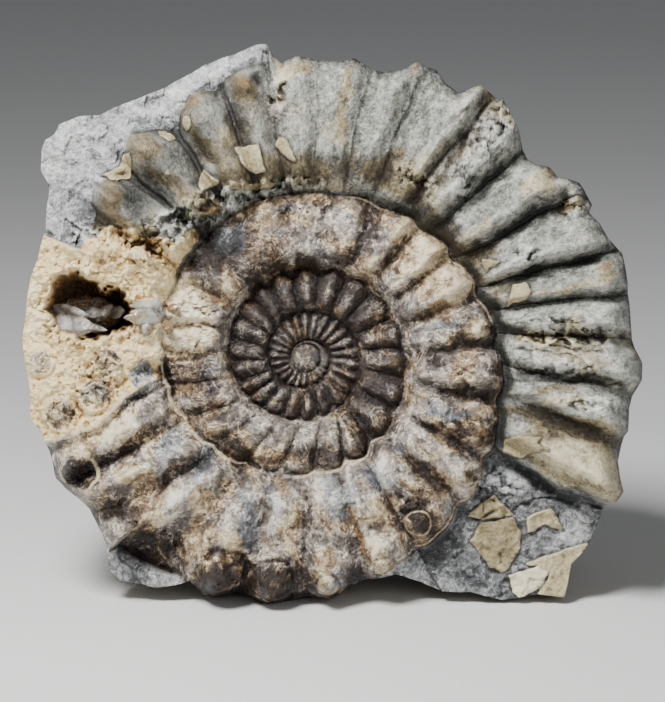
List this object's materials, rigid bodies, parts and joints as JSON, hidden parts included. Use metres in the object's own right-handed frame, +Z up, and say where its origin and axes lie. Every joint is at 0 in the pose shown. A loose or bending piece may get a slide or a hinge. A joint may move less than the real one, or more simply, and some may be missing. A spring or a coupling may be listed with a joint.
{
  "type": "fossil ammonite",
  "caption": "Ribbed spiral ammonite fossil in its stone matrix, leaning back on a flat spot, with an open crystal-lined hollow at the left.",
  "frame": {"origin": "middle of the bounding box's bottom, on the surface that the stone rests on", "axes": "+Z up; the coiled face looks towards -Y and leans back by 11 degrees; +X is to the right of the face"},
  "size_m": [0.2002, 0.0848, 0.1778],
  "materials": {
    "stone": "rough grey limestone matrix with brown, grey and cream calcite shell, satin on the ribs",
    "calcite": "clear to milky calcite crystal, glossy"
  },
  "bodies": {
    "root": {"ammonite": "stone", "vug_crystals": "calcite"}
  },
  "joints": []
}
